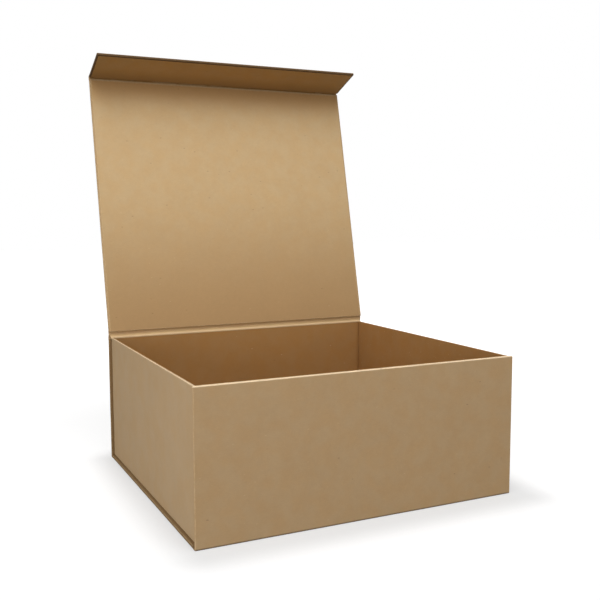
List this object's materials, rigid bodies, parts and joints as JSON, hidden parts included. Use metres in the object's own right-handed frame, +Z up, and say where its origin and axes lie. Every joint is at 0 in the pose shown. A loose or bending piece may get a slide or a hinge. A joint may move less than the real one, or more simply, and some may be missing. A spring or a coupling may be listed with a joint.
{
  "type": "hamper box",
  "caption": "Kraft-covered rigid hamper box with a hinged lid, a magnetic front flap and a deep board tray, standing open",
  "frame": {"origin": "the middle of the box's footprint, on the underside of the base board, where it stands on a table", "axes": "+X to the right along the front, +Y from the front to the back and the lid's hinge, +Z up"},
  "size_m": [0.35, 0.3934, 0.4878],
  "materials": {
    "tray_kraft": "kraft-covered board, matt",
    "case_kraft": "kraft-covered board, matt",
    "kraft_paper": "kraft paper, matt",
    "kraft_lining": "kraft lining paper, matt",
    "magnet_nickel": "nickel plating",
    "plate_steel": "bare steel"
  },
  "bodies": {
    "box": {"tray": "tray_kraft", "floor_lining": "kraft_lining", "base_board": "case_kraft", "front_board": "case_kraft", "back_board": "case_kraft", "front_fold_paper": "kraft_paper", "back_fold_paper": "kraft_paper", "lid_hinge_paper": "kraft_paper", "lid_hinge_lining": "kraft_lining", "left_plate": "plate_steel", "right_plate": "plate_steel"},
    "lid": {"lid_board": "case_kraft", "lid_lining": "kraft_lining", "flap_hinge_paper": "kraft_paper", "flap_hinge_lining": "kraft_lining"},
    "flap": {"flap_board": "case_kraft", "flap_lining": "kraft_lining", "left_magnet": "magnet_nickel", "right_magnet": "magnet_nickel"}
  },
  "joints": [
    {"name": "lid_hinge", "type": "hinge", "parent": "box", "child": "lid", "pos_m": [0, 0.1595, 0.15155], "axis": [1, 0, 0], "range_deg": [-97, 103], "deforming": ["lid_hinge_paper", "lid_hinge_lining"]},
    {"name": "flap_hinge", "type": "hinge", "parent": "lid", "child": "flap", "pos_m": [0, 0.23239, 0.4673], "axis": [1, 0, 0], "range_deg": [-81, 9], "deforming": ["flap_hinge_paper", "flap_hinge_lining"]}
  ]
}
